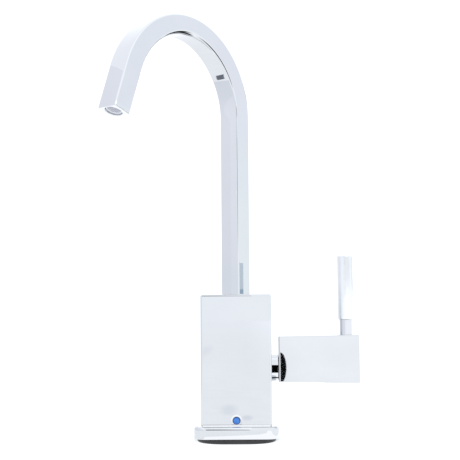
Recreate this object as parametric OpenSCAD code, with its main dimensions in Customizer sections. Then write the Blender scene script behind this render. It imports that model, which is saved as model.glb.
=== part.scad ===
// Drinking water filter tap: a square body on a base plate, a swivelling arched spout of
// rectangular tube, and a side valve with a block handle and an upright lever.
// Millimetres. The origin is the centre of the base, on the worktop. +Z is up,
// the front faces -Y and the handle is on the +X side.

/* [Body] */
// Width of the body from side to side
body_w = 45; // [42:0.5:60]
// Depth of the body from front to back
body_d = 45; // [42:0.5:60]
// Height of the body above the base plate
body_h = 82.8; // [78:0.2:120]
// Radius of the body's outer edges
body_edge_r = 1.2; // [0.8:0.1:2.5]
// Thinnest wall of the body round the insert
body_wall = 5.4; // [4.6:0.1:6]

/* [Base] */
// How far the base plate stands out past the body
flange_margin = 4.5; // [3:0.1:8]
// Thickness of the base plate
flange_t = 7.6; // [6:0.1:12]
// Corner radius of the base plate, seen from above
flange_corner_r = 8; // [4:0.5:10]
// Radius of the base plate's top edge
flange_edge_r = 1; // [0.5:0.1:2]
// How far the gasket's rim stays inside the base plate's sides
gasket_inset = 1.8; // [1:0.1:3]
// Width of the gasket's ring
gasket_band = 5.2; // [3.5:0.1:6]
// Height of the gasket that shows below the base plate
gasket_h = 3.2; // [2:0.1:5]
// Depth of the groove that holds the gasket
gasket_groove = 1.2; // [0.6:0.1:2]

/* [Insert] */
// How far the insert stands up inside the body
insert_rise = 19.2; // [17:0.1:21]
// How far the insert's underside is set back from the base plate's
insert_recess = 0.4; // [0.2:0.1:0.7]
// Diameter of the tapped inlet hole for an M10 fine hose end
inlet_d = 9; // [8:0.1:9.5]
// Depth of the tapped inlet hole
inlet_depth = 12; // [10:0.5:14]
// Diameter of the water passage above the inlet
passage_d = 6; // [5:0.1:6.5]
// Diameter of the tapped hole for an M8 fixing stud
stud_d = 6.8; // [6:0.1:8]
// Depth of the tapped stud hole
stud_depth = 16; // [12:0.5:18]

/* [Indicator] */
// Diameter of the blue plug
plug_d = 4.8; // [4.4:0.1:5.4]
// Height of the plug's centre above the body's underside
plug_height = 3.5; // [3.4:0.1:8]
// Length of the plug inside its hole
plug_len = 2; // [1.6:0.1:2.2]
// How far the plug's face stands out
plug_stand = 0.3; // [0.1:0.05:0.6]

/* [Spout] */
// Width of the spout tube across its bend
spout_w = 14.8; // [13:0.1:18]
// Thickness of the spout tube in the plane of its bend
spout_t = 12.4; // [12:0.1:16]
// Wall of the spout tube
spout_wall = 1.2; // [0.8:0.1:1.4]
// Radius of the spout tube's outer edges
spout_edge_r = 1.1; // [0.6:0.1:2]
// Height of the bend's centre above the body
spout_rise = 115.7; // [60:0.1:180]
// Radius of the bend, at the middle of the tube
bend_r = 51.8; // [35:0.1:80]
// Angle that the bend turns through
bend_sweep = 160.6; // [135:0.1:180]
// Straight length after the bend
tail_len = 29.3; // [20:0.1:60]
// How far the spout is turned to the left of the front at rest
spout_swing = 38.7; // [0:0.1:90]

/* [Outlet] */
// Diameter of the outlet bore
outlet_d = 10.2; // [9:0.1:10.4]
// Depth of the outlet bore
outlet_depth = 10.5; // [9:0.1:14]
// Length of the shoulder that stops the outlet pieces
outlet_shoulder = 2; // [1:0.1:4]
// How far the outlet housing is set back from the spout's end
housing_recess = 1; // [0.4:0.1:1.5]
// Wall of the outlet housing
housing_wall = 0.9; // [0.6:0.1:1]
// Thickness of the flow straightener
straightener_t = 4; // [2.5:0.1:5]
// Thickness of the outlet washer
washer_t = 1.5; // [1:0.1:2]

/* [Spout seat] */
// Diameter of the socket in the body
socket_d = 17; // [16:0.1:19]
// Depth of the socket below the body's top
socket_depth = 27.6; // [27:0.1:30]
// Length of the spigot below the body's top
spigot_len = 26; // [24:0.1:26.5]
// Diameter of the water bore through the spigot
spigot_bore = 7.2; // [5:0.1:7.6]
// Length of the spigot's root inside the tube
spigot_root = 12; // [8:0.5:20]
// Thickness of the spout's sealing rings
seal_t = 1.8; // [1.4:0.1:2]
// Width of the glide ring that carries the spout
glide_band = 2.4; // [1.6:0.1:4]
// Thickness of the glide ring
glide_t = 3; // [2:0.1:5]

/* [Valve] */
// Height of the valve's axis above the body's underside
valve_height = 34.8; // [32:0.1:36]
// Diameter of the valve's bore in the body
valve_d = 16; // [15:0.1:17]
// How far the valve's seat lies past the middle of the body
seat_offset = 4; // [3:0.1:5]
// Diameter of the discs
disc_d = 11.2; // [10:0.1:11.4]
// Thickness of each disc
disc_t = 3; // [2.4:0.1:3.4]
// Diameter of the spindle
spindle_d = 8; // [7:0.1:8.4]
// Width of the spindle's square end
drive_w = 5.6; // [4.8:0.1:5.8]
// Length of the spindle's square end
drive_len = 11; // [8:0.5:16]
// Thickness of the small sealing rings
ring_t = 1.5; // [1.2:0.1:1.6]

/* [Handle] */
// Diameter of the round collar between the body and the handle
collar_d = 17.5; // [17.2:0.1:20]
// Length of the collar
collar_len = 4.5; // [4:0.1:8]
// Length of the handle block
block_len = 52.1; // [40:0.1:70]
// Height of the handle block at its free end
block_end_h = 30.8; // [26:0.1:36]
// Height of the handle block at its root
block_root_h = 29.6; // [26:0.1:36]
// Depth of the handle block from front to back
block_d = 24; // [20:0.5:30]
// How far the block's middle lies above the valve's axis
block_rise = 6.1; // [4:0.1:6.5]
// Radius of the handle block's upright edges
block_edge_r = 0.8; // [0.4:0.1:2]
// Distance from the lever's axis to the block's free end
lever_inset = 7.5; // [6.5:0.1:14]
// Diameter of the lever's grip
lever_d = 10.2; // [9.2:0.1:14]
// Length of the lever's grip
grip_len = 41.7; // [30:0.1:60]
// Diameter of the lever's neck
neck_d = 8.4; // [7:0.1:9]
// Length of the lever's neck above the block
neck_len = 9.7; // [5:0.1:15]
// Radius of the grip's lower shoulder
shoulder_r = 1.6; // [0.5:0.1:2]
// Diameter of the lever's threaded end
lever_thread_d = 6; // [5:0.1:6.4]
// Length of the lever's threaded end
lever_thread_len = 12; // [8:0.5:16]

/* [Screws] */
// Diameter of the grub screws
grub_d = 4; // [3:0.1:4.2]
// Width across flats of a grub screw's socket
grub_key = 2; // [1.5:0.1:2]

/* [Fits] */
// Radial clearance where one piece turns in another
run_gap = 0.05; // [0.03:0.01:0.08]
// Clear space between pieces that move past each other
swivel_gap = 0.3; // [0.2:0.05:0.5]
// Clearance round pieces that are fixed in place
seat_gap = 0.1; // [0.05:0.01:0.2]

/* [Hidden] */
$fn = 64;
// A cut runs this far past the surface that it opens
past = 1;

// Levels and plan sizes
flange_w = body_w + 2 * flange_margin;
flange_d = body_d + 2 * flange_margin;
flange_z = gasket_h;
body_z = flange_z + flange_t;
body_top = body_z + body_h;
gasket_od = min(flange_w, flange_d) - 2 * gasket_inset;
gasket_id = gasket_od - 2 * gasket_band;
insert_bore_d = min(body_w, body_d) - 2 * body_wall;
insert_d = insert_bore_d - 2 * seat_gap;
insert_z = flange_z + insert_recess;
insert_top = body_z + insert_rise;
side_x = body_w / 2;
front_y = -body_d / 2;
valve_z = body_z + valve_height;
plug_z = body_z + plug_height;

// Valve stations along X, from the seat outwards
seat_x = -seat_offset;
chamber_len = 8;
chamber_d = 10;
seat_seal_t = 2;
seat_seal_band = 1.7;
disc_gap = run_gap;
fixed_disc_x = seat_x + seat_seal_t;
moving_disc_x = fixed_disc_x + disc_t + disc_gap;
foot_x = moving_disc_x + disc_t;
foot_t = 3;
foot_w = 4;
tongue_t = 1.2;
recess_end_x = foot_x + foot_t + swivel_gap;
recess_d = disc_d + 2 * swivel_gap;
stop_d = 9;
stop_half_angle = 14;
window_d = 4.6;
window_x = recess_end_x - window_d / 2;
spindle_ring_set = 3;
spindle_ring_x = recess_end_x + spindle_ring_set;
cartridge_ring_set = 6;
cartridge_ring_x = side_x - cartridge_ring_set;
collar_wall = 1.65;
collar_bore_d = collar_d - 2 * collar_wall;
nose_d = collar_bore_d - 2 * seat_gap;
nose_shoulder = 1;
nose_x = side_x - nose_shoulder;
clip_t = 0.8;
clip_d = 11;
collar_x = side_x + collar_len;
collar_lip = 0.8;
nose_end_x = collar_x - collar_lip - clip_t - 2 * seat_gap;
clip_x = nose_end_x + seat_gap;
block_x = collar_x + swivel_gap;
port_inner_r = 1.4;
port_outer_r = 4.6;
port_half_angle = 32;
// The spindle's bar lies at this angle at rest, so that its quarter turn is even about the window
rest_turn = 45;

// The inlet lies under the valve's chamber, and the stud on the other side
inlet_x = seat_x - chamber_len / 2;
stud_x = -inlet_x;
inlet_ring_r = passage_d / 2 + ring_t;

// Spout stations
spout_z = body_top + swivel_gap;
bend_z = body_top + spout_rise;
socket_z = body_top - socket_depth;
spigot_d = socket_d - 2 * run_gap;
spigot_z = body_top - spigot_len;
keeper_drop = 11;
spout_screw_z = body_top - keeper_drop;
keeper_sink = 2;
seal_foot = 4;
seal_pitch = 5;
lower_seal_z = spigot_z + seal_foot;
upper_seal_z = lower_seal_z + seal_pitch;
keeper_depth = 1.3;
keeper_w = 3.4;
keeper_tip_d = 2.4;
keeper_reach = 0.9;
glide_d = socket_d + 2 * glide_band;
housing_d = outlet_d - 2 * seat_gap;
housing_len = outlet_depth - housing_recess - washer_t;
washer_hole_d = 7;

// Handle stations
block_z = valve_z + block_rise;
block_end_x = block_x + block_len;
lever_x = block_end_x - lever_inset;
block_lever_h = block_root_h + (block_end_h - block_root_h) * (lever_x - block_x) / block_len;
block_top_z = block_z + block_lever_h / 2;
spot_face = 0.8;
lever_z = block_top_z - spot_face;
grip_z = block_top_z + neck_len;
grip_top_r = 0.5;
handle_screw_x = block_x + drive_len / 2;
handle_screw_sink = 3.2;
handle_screw_len = block_d / 2 - drive_w / 2 - handle_screw_sink;

// The body's screw reaches from the insert to the back of the indicator plug
body_screw_tip = 0.6;
body_screw_len = body_d / 2 - plug_len - seat_gap - insert_d / 2 + body_screw_tip;

chrome = [0.86, 0.87, 0.9];
brass = [0.8, 0.66, 0.36];
rubber = [0.08, 0.08, 0.09];
acetal = [0.9, 0.9, 0.88];
ceramic = [0.95, 0.94, 0.9];
steel = [0.6, 0.61, 0.63];
blue = [0.12, 0.42, 0.85];

// Rectangle with round corners, centred
module round_rect(w, d, r) {
    square([w - 2 * r, d], center = true);
    square([w, d - 2 * r], center = true);
    for (sx = [-1, 1], sy = [-1, 1])
        translate([sx * (w / 2 - r), sy * (d / 2 - r)])
            circle(r);
}

// Half outline of a turned disc whose top and lower edges are round
module turned_edge(r, h, top_r, low_r) {
    intersection() {
        square([r, h]);
        union() {
            square([r - max(top_r, low_r), h]);
            translate([0, low_r])
                square([r, h - top_r - low_r]);
            translate([r - top_r, h - top_r])
                circle(top_r);
            if (low_r > 0)
                translate([r - low_r, low_r])
                    circle(low_r);
        }
    }
}

// Plate standing on z = 0 with round corners in plan and a round top edge
module soft_plate(w, d, h, corner_r, top_r) {
    hull()
        for (sx = [-1, 1], sy = [-1, 1])
            translate([sx * (w / 2 - corner_r), sy * (d / 2 - corner_r), 0])
                rotate_extrude($fn = 32)
                    turned_edge(corner_r, h, top_r, 0);
}

// Block centred on the origin with all its edges round
module soft_block(w, d, h, r) {
    hull()
        for (sx = [-1, 1], sy = [-1, 1], sz = [-1, 1])
            translate([sx * (w / 2 - r), sy * (d / 2 - r), sz * (h / 2 - r)])
                sphere(r, $fn = 32);
}

// Cylinder along +X from x0 to x1, on the X axis
module rod_x(d, x0, x1) {
    translate([x0, 0, 0])
        rotate([0, 90, 0])
            cylinder(d = d, h = x1 - x0);
}

// Ring of round section about the Z axis
module o_ring(mean_r, t) {
    rotate_extrude()
        translate([mean_r, 0])
            circle(d = t, $fn = 32);
}

// Flat ring about the Z axis, standing on z = 0
module washer(od, id, h) {
    difference() {
        cylinder(d = od, h = h);
        translate([0, 0, -past])
            cylinder(d = id, h = h + 2 * past);
    }
}

// Places its children on the valve's axis
module on_valve() {
    translate([0, 0, valve_z])
        children();
}

// Turns what is made about Z at z = 0 to lie about the valve's axis at station x
module at_station(x) {
    on_valve()
        translate([x, 0, 0])
            rotate([0, 90, 0])
                children();
}

// Turns the spout and all that goes with it to its place at rest
module swing() {
    rotate([0, 0, -spout_swing])
        children();
}

// Puts its children at the spout's end, with +Z running back up the tube
module at_outlet() {
    swing()
        translate([0, -bend_r, bend_z])
            rotate([90, 0, 90])
                rotate([0, 0, bend_sweep])
                    translate([bend_r, tail_len, 0])
                        rotate([90, 0, 0])
                            children();
}

// Set screw with a hexagonal socket, point at z = 0 and socket at z = len
module grub_screw(len, point_d) {
    key_depth = len / 2;
    point_len = 1;
    color(steel)
        difference() {
            union() {
                cylinder(d = point_d, h = point_len + seat_gap);
                translate([0, 0, point_len])
                    cylinder(d = grub_d - 2 * seat_gap, h = len - point_len);
            }
            translate([0, 0, len - key_depth])
                cylinder(d = grub_key / cos(30), h = key_depth + past, $fn = 6);
        }
}

module base_gasket() {
    color(rubber)
        washer(gasket_od, gasket_id, gasket_h + gasket_groove);
}

module base_flange() {
    color(chrome)
        translate([0, 0, flange_z])
            difference() {
                soft_plate(flange_w, flange_d, flange_t, flange_corner_r, flange_edge_r);
                translate([0, 0, -past])
                    cylinder(d = insert_bore_d, h = flange_t + 2 * past);
                translate([0, 0, -past])
                    washer(gasket_od, gasket_id, gasket_groove + past);
            }
}

module base_insert() {
    color(brass)
        difference() {
            translate([0, 0, insert_z])
                cylinder(d = insert_d, h = insert_top - insert_z);
            translate([inlet_x, 0, insert_z - past])
                cylinder(d = inlet_d, h = inlet_depth + past);
            translate([inlet_x, 0, insert_z])
                cylinder(d = passage_d, h = insert_top - insert_z + past);
            translate([stud_x, 0, insert_z - past])
                cylinder(d = stud_d, h = stud_depth + past);
            translate([inlet_x, 0, insert_top - ring_t])
                washer(2 * inlet_ring_r + ring_t, 2 * inlet_ring_r - ring_t, ring_t + past);
            translate([0, -insert_d / 2 - past, plug_z])
                rotate([-90, 0, 0])
                    cylinder(d = grub_d, h = past + body_screw_tip);
        }
}

module inlet_o_ring() {
    color(rubber)
        translate([inlet_x, 0, insert_top - ring_t / 2])
            o_ring(inlet_ring_r, ring_t);
}

module body() {
    color(chrome)
        difference() {
            translate([0, 0, body_z + body_h / 2])
                soft_block(body_w, body_d, body_h, body_edge_r);
            // Pocket for the insert, and the water way up from it
            translate([0, 0, body_z - past])
                cylinder(d = insert_bore_d, h = insert_rise + past);
            translate([inlet_x, 0, insert_top - past])
                cylinder(d = passage_d, h = valve_z - insert_top + past);
            // Bore for the valve and the chamber before its seat
            on_valve()
                rod_x(valve_d, seat_x, side_x + past);
            on_valve()
                rod_x(chamber_d, seat_x - chamber_len, seat_x + past);
            // Water way from the valve up to the spout's socket
            translate([window_x, 0, valve_z])
                cylinder(d = window_d, h = socket_z - valve_z + past);
            translate([0, 0, socket_z])
                cylinder(d = socket_d, h = socket_depth + past);
            translate([0, 0, body_top - glide_t])
                cylinder(d = glide_d + 2 * seat_gap, h = glide_t + past);
            // Screw holes: behind the indicator at the front, and for the spout at the back
            translate([0, front_y - past, plug_z])
                rotate([-90, 0, 0])
                    cylinder(d = grub_d, h = body_d / 2);
            translate([0, front_y - past, plug_z])
                rotate([-90, 0, 0])
                    cylinder(d = plug_d + 2 * seat_gap, h = plug_len + past);
            translate([0, 0, spout_screw_z])
                rotate([-90, 0, 0])
                    cylinder(d = grub_d, h = body_d / 2 + past);
        }
}

module indicator_plug() {
    dome_sink = plug_d;
    dome_r = sqrt(pow(dome_sink, 2) + pow(plug_d / 2, 2));
    color(blue)
        translate([0, front_y + plug_len, plug_z])
            rotate([90, 0, 0])
                intersection() {
                    cylinder(d = plug_d, h = plug_len + 2 * plug_stand);
                    translate([0, 0, plug_len + plug_stand - dome_r])
                        sphere(dome_r);
                }
}

module body_screw() {
    translate([0, -insert_d / 2 + body_screw_tip, plug_z])
        rotate([90, 0, 0])
            grub_screw(body_screw_len, grub_d / 2);
}

module glide_ring() {
    color(acetal)
        translate([0, 0, body_top - glide_t])
            washer(glide_d, socket_d, glide_t);
}

module spout_screw() {
    screw_y = socket_d / 2 - keeper_reach;
    translate([0, screw_y, spout_screw_z])
        rotate([-90, 0, 0])
            grub_screw(body_d / 2 - screw_y - keeper_sink, keeper_tip_d);
}

// Outline of the spout tube, thickness along X
module tube_outline() {
    round_rect(spout_t, spout_w, spout_edge_r);
}

// Outline of the water way inside the tube
module tube_bore() {
    square([spout_t - 2 * spout_wall, spout_w - 2 * spout_wall], center = true);
}

// Carries an outline up the riser and round the bend
module along_spout() {
    translate([0, 0, spout_z])
        linear_extrude(bend_z - spout_z)
            rotate([0, 0, 90])
                children();
    translate([0, -bend_r, bend_z])
        rotate([90, 0, 90])
            rotate_extrude(angle = bend_sweep)
                translate([bend_r, 0])
                    children();
}

module spout_tube() {
    color(chrome)
        swing()
            difference() {
                along_spout()
                    tube_outline();
                along_spout()
                    tube_bore();
            }
}

// Straight end of the spout, brazed to the bend and polished flush with it
module spout_nozzle() {
    solid_end = outlet_depth + outlet_shoulder;
    color(chrome)
        at_outlet()
            difference() {
                linear_extrude(tail_len)
                    tube_outline();
                translate([0, 0, solid_end])
                    linear_extrude(tail_len)
                        tube_bore();
                translate([0, 0, -past])
                    cylinder(d = outlet_d, h = outlet_depth + past);
                cylinder(d = washer_hole_d, h = tail_len);
            }
}

module spout_spigot() {
    root_t = spout_t - 2 * spout_wall - 2 * seat_gap;
    root_w = spout_w - 2 * spout_wall - 2 * seat_gap;
    color(brass)
        difference() {
            union() {
                translate([0, 0, spigot_z])
                    cylinder(d = spigot_d, h = spout_z - spigot_z);
                swing()
                    translate([-root_w / 2, -root_t / 2, spout_z - past])
                        cube([root_w, root_t, spigot_root + past]);
            }
            translate([0, 0, spigot_z - past])
                cylinder(d = spigot_bore, h = spigot_len + spigot_root + 3 * past);
            for (z = [lower_seal_z, upper_seal_z])
                translate([0, 0, z - seal_t / 2])
                    washer(spigot_d + past, spigot_d - 2 * seal_t, seal_t);
            translate([0, 0, spout_screw_z - keeper_w / 2])
                washer(spigot_d + past, spigot_d - 2 * keeper_depth, keeper_w);
        }
}

module spout_o_ring(z) {
    color(rubber)
        translate([0, 0, z])
            o_ring(spigot_d / 2 - seal_t / 2, seal_t);
}

module spout_o_ring_upper() {
    spout_o_ring(upper_seal_z);
}

module spout_o_ring_lower() {
    spout_o_ring(lower_seal_z);
}

module outlet_housing() {
    color(acetal)
        at_outlet()
            translate([0, 0, housing_recess])
                washer(housing_d, housing_d - 2 * housing_wall, housing_len);
}

module flow_straightener() {
    disc_r = housing_d / 2 - housing_wall - seat_gap;
    cell = 1.1;
    pitch = 1.45;
    cells_out = 3;
    color(acetal)
        at_outlet()
            translate([0, 0, housing_recess + housing_len - straightener_t])
                difference() {
                    cylinder(r = disc_r, h = straightener_t);
                    for (i = [-cells_out:cells_out], j = [-cells_out:cells_out])
                        if (pitch * norm([i, j]) + cell / sqrt(2) < disc_r)
                            translate([i * pitch - cell / 2, j * pitch - cell / 2, -past])
                                cube([cell, cell, straightener_t + 2 * past]);
                }
}

module outlet_washer() {
    color(rubber)
        at_outlet()
            translate([0, 0, outlet_depth - washer_t])
                washer(housing_d, washer_hole_d, washer_t);
}

// Sector of a circle between two radii, centred on the +Y direction
module sector(r0, r1, half_angle) {
    reach = 2 * r1;
    intersection() {
        difference() {
            circle(r1);
            circle(r0);
        }
        polygon([[0, 0],
                 [-reach * sin(half_angle), reach * cos(half_angle)],
                 [reach * sin(half_angle), reach * cos(half_angle)]]);
    }
}

module cartridge_body() {
    cartridge_d = valve_d - 2 * seat_gap;
    bore_d = spindle_d + 2 * run_gap;
    color(brass)
        difference() {
            union() {
                on_valve()
                    rod_x(cartridge_d, seat_x, nose_x);
                on_valve()
                    rod_x(nose_d, nose_x - past, nose_end_x);
            }
            difference() {
                on_valve()
                    rod_x(recess_d, seat_x - past, recess_end_x);
                // Two stops that end the spindle's quarter turn
                for (turn = [0, 180])
                    at_station(foot_x + swivel_gap)
                        rotate([0, 0, turn])
                            linear_extrude(recess_end_x - foot_x)
                                sector(stop_d / 2, recess_d / 2 + past, stop_half_angle);
            }
            on_valve()
                rod_x(bore_d, seat_x, nose_end_x + past);
            translate([window_x, 0, valve_z])
                cylinder(d = window_d, h = valve_d);
            at_station(cartridge_ring_x - ring_t / 2)
                washer(cartridge_d + past, cartridge_d - 2 * ring_t, ring_t);
        }
}

module cartridge_o_ring() {
    color(rubber)
        at_station(cartridge_ring_x)
            o_ring(valve_d / 2 - seat_gap - ring_t / 2, ring_t);
}

module seat_seal() {
    seal_d = recess_d - 2 * seat_gap;
    color(rubber)
        at_station(seat_x)
            washer(seal_d, seal_d - 2 * seat_seal_band, seat_seal_t);
}

// Disc with two opposite ports, turned about the valve's axis
module port_disc(d, x, turn) {
    color(ceramic)
        at_station(x)
            difference() {
                cylinder(d = d, h = disc_t);
                for (half = [0, 180])
                    rotate([0, 0, turn + half])
                        translate([0, 0, -past])
                            linear_extrude(disc_t + 2 * past)
                                sector(port_inner_r, port_outer_r, port_half_angle);
            }
}

module fixed_disc() {
    port_disc(recess_d - 2 * seat_gap, fixed_disc_x, rest_turn);
}

module moving_disc() {
    difference() {
        port_disc(disc_d, moving_disc_x, rest_turn + 90);
        color(ceramic)
            spindle_foot(foot_w + 2 * seat_gap, foot_x - tongue_t, foot_x + past);
    }
}

// Bar across the spindle's inner end, which drives the moving disc
module spindle_foot(w, x0, x1) {
    at_station(x0)
        rotate([0, 0, rest_turn])
            intersection() {
                cylinder(d = disc_d - 2 * seat_gap, h = x1 - x0);
                translate([-w / 2, -disc_d, -past])
                    cube([w, 2 * disc_d, x1 - x0 + 2 * past]);
            }
}

module spindle() {
    color(brass)
        difference() {
            union() {
                spindle_foot(foot_w, foot_x - tongue_t, foot_x + foot_t);
                on_valve()
                    rod_x(spindle_d, foot_x + foot_t - past, block_x - swivel_gap / 2);
                on_valve()
                    translate([block_x - past, -drive_w / 2, -drive_w / 2])
                        cube([drive_len + past, drive_w, drive_w]);
            }
            at_station(spindle_ring_x - ring_t / 2)
                washer(spindle_d + past, spindle_d - 2 * ring_t, ring_t);
            at_station(clip_x)
                washer(spindle_d + past, spindle_d - 2 * clip_t, clip_t);
        }
}

module spindle_o_ring() {
    color(rubber)
        at_station(spindle_ring_x)
            o_ring(spindle_d / 2 - ring_t / 2, ring_t);
}

module spindle_clip() {
    gap_w = 3;
    color(steel)
        at_station(clip_x)
            difference() {
                washer(clip_d, spindle_d - 2 * clip_t, clip_t);
                translate([-gap_w / 2, 0, -past])
                    cube([gap_w, clip_d, clip_t + 2 * past]);
            }
}

module collar() {
    color(chrome)
        at_station(side_x)
            difference() {
                cylinder(d = collar_d, h = collar_len);
                translate([0, 0, -past])
                    cylinder(d = collar_bore_d, h = collar_len + 2 * past);
            }
}

// Handle block seen from above, with round upright edges
module block_plan() {
    tall = 2 * max(block_root_h, block_end_h);
    translate([block_x + block_len / 2, 0, -tall / 2])
        linear_extrude(tall)
            round_rect(block_len, block_d, block_edge_r);
}

// Handle block seen from the front: its height grows evenly from the root to the free end
module block_side() {
    spread = (block_end_h - block_root_h) / 2 / block_len;
    root_half = block_root_h / 2 - spread * past;
    end_half = block_end_h / 2 + spread * past;
    translate([block_x, block_d / 2 + past, 0])
        rotate([90, 0, 0])
            linear_extrude(block_d + 2 * past)
                polygon([[-past, -root_half], [block_len + past, -end_half],
                         [block_len + past, end_half], [-past, root_half]]);
}

module handle_block() {
    socket_w = drive_w + 2 * seat_gap;
    color(chrome)
        difference() {
            translate([0, 0, block_z])
                intersection() {
                    block_plan();
                    block_side();
                }
            on_valve()
                translate([block_x - past, -socket_w / 2, -socket_w / 2])
                    cube([drive_len + seat_gap + past, socket_w, socket_w]);
            translate([handle_screw_x, 0, valve_z])
                rotate([-90, 0, 0])
                    cylinder(d = grub_d, h = block_d / 2 + past);
            translate([lever_x, 0, lever_z])
                cylinder(d = neck_d + 2 * seat_gap, h = spot_face + past);
            translate([lever_x, 0, lever_z - lever_thread_len - seat_gap])
                cylinder(d = lever_thread_d, h = lever_thread_len + seat_gap + past);
        }
}

module handle_screw() {
    translate([handle_screw_x, drive_w / 2, valve_z])
        rotate([-90, 0, 0])
            grub_screw(handle_screw_len, grub_d / 2);
}

module lever() {
    color(chrome)
        translate([lever_x, 0, lever_z]) {
            translate([0, 0, -lever_thread_len])
                cylinder(d = lever_thread_d - 2 * seat_gap, h = lever_thread_len + past);
            cylinder(d = neck_d, h = spot_face + neck_len + past);
            translate([0, 0, spot_face + neck_len])
                rotate_extrude()
                    turned_edge(lever_d / 2, grip_len, grip_top_r, shoulder_r);
        }
}

base_gasket();
base_flange();
base_insert();
inlet_o_ring();
body();
indicator_plug();
body_screw();
glide_ring();
spout_screw();
spout_tube();
spout_nozzle();
spout_spigot();
spout_o_ring_upper();
spout_o_ring_lower();
outlet_housing();
flow_straightener();
outlet_washer();
cartridge_body();
cartridge_o_ring();
seat_seal();
fixed_disc();
collar();
spindle();
moving_disc();
spindle_o_ring();
spindle_clip();
handle_block();
handle_screw();
lever();
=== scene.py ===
import math

import bmesh
import bpy
import numpy as np
from mathutils import Matrix, Vector


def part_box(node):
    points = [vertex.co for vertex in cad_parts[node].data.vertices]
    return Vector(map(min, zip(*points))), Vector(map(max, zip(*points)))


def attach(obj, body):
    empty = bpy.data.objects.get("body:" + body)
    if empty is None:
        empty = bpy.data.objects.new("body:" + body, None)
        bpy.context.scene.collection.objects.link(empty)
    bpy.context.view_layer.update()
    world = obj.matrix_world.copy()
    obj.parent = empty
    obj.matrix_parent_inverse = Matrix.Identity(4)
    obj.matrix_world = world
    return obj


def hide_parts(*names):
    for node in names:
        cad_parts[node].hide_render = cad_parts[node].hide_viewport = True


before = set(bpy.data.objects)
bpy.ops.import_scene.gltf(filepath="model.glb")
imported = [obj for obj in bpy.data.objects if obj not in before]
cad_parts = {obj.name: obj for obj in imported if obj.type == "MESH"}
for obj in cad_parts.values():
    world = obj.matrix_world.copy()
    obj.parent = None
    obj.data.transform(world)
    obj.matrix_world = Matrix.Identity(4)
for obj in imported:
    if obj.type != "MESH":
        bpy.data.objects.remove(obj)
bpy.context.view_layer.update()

# Base gasket: a moulded rubber ring that seals the base plate to the worktop.
# Its lip is square with round corners, and the round step above it sits in a groove under the plate.
MM = 0.001
CRISP_R = 0.1 * MM


def outline(corners, steps=7, guard=0.00008, flats=0):
    """Closed outline with round corners.

    Each corner is (x, y, radius). The arc touches both sides at radius / tan(half angle) from the
    corner, and a guard point stands on each side just before and after it, which keeps flats flat.
    Each flat between two corners is cut by as many even points as flats says.
    """
    rows = np.array(corners, float)
    here, radius = rows[:, :2], rows[:, 2]
    before = np.roll(here, 1, 0) - here
    after = np.roll(here, -1, 0) - here
    before /= np.linalg.norm(before, axis=1, keepdims=True)
    after /= np.linalg.norm(after, axis=1, keepdims=True)
    half = np.arccos(np.clip((before * after).sum(1), -1, 1)) / 2
    reach = radius / np.tan(half)
    middle = before + after
    middle /= np.linalg.norm(middle, axis=1, keepdims=True)
    centre = here + middle * (radius / np.sin(half))[:, None]
    share = np.linspace(0, 1, steps)[None, :, None]
    start = (here + before * reach[:, None] - centre)[:, None]
    stop = (here + after * reach[:, None] - centre)[:, None]
    swing = (np.pi - 2 * half)[:, None, None]
    arc = (np.sin((1 - share) * swing) * start + np.sin(share * swing) * stop) / np.sin(swing)
    arc += centre[:, None]
    lead = (here + before * (reach + guard)[:, None])[:, None]
    trail = (here + after * (reach + guard)[:, None])[:, None]
    part = np.linspace(0, 1, flats + 2)[1:-1][None, :, None]
    flat = trail * (1 - part) + np.roll(lead, -1, 0) * part
    return np.concatenate([lead, arc, trail, flat], 1).reshape(-1, 2)


def closed(points):
    """The same points with the first one repeated at the end, so that a skin meets itself."""
    return np.concatenate([points, points[:1]], 0)


def rounded_ring(half_x, half_y, radius, low_x_radius=None):
    """Rectangle with round corners about the origin, as a ring of points.

    The two corners at low x may have a radius of their own.
    """
    other = radius if low_x_radius is None else low_x_radius
    return outline([(-half_x, -half_y, other), (half_x, -half_y, radius),
                    (half_x, half_y, radius), (-half_x, half_y, other)], steps=13, guard=0.00012, flats=11)


def round_ring(like, radius):
    """Circle whose points lie in the same directions as those of another ring."""
    return like * (radius / np.linalg.norm(like, axis=1, keepdims=True))


def level(ring, z):
    """A flat ring set at one height, with its first point repeated to close it."""
    ring = closed(ring)
    return np.concatenate([ring, np.full((len(ring), 1), z)], 1)


def square_turned(shape, half, corner_r, square_from):
    """Surface that a section draws as it goes round the upright axis, as for a turned piece.

    A point of the section that is square_from or more from the axis follows a square with round
    corners, drawn in evenly from the outer half size, and a point nearer to the axis a circle.
    """
    around = rounded_ring(half, half, corner_r)
    rows = [level(rounded_ring(reach, reach, corner_r - half + reach) if reach > square_from
                  else round_ring(around, reach), height) for reach, height in closed(shape)]
    return np.stack(rows)


def grid_faces(rows, columns, first=0):
    """Four-sided faces between neighbours in a grid, with its points numbered row by row from the first."""
    index = first + np.arange(rows * columns).reshape(rows, columns)
    return np.stack([index[:-1, :-1], index[1:, :-1], index[1:, 1:], index[:-1, 1:]], -1).reshape(-1, 4)


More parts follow.
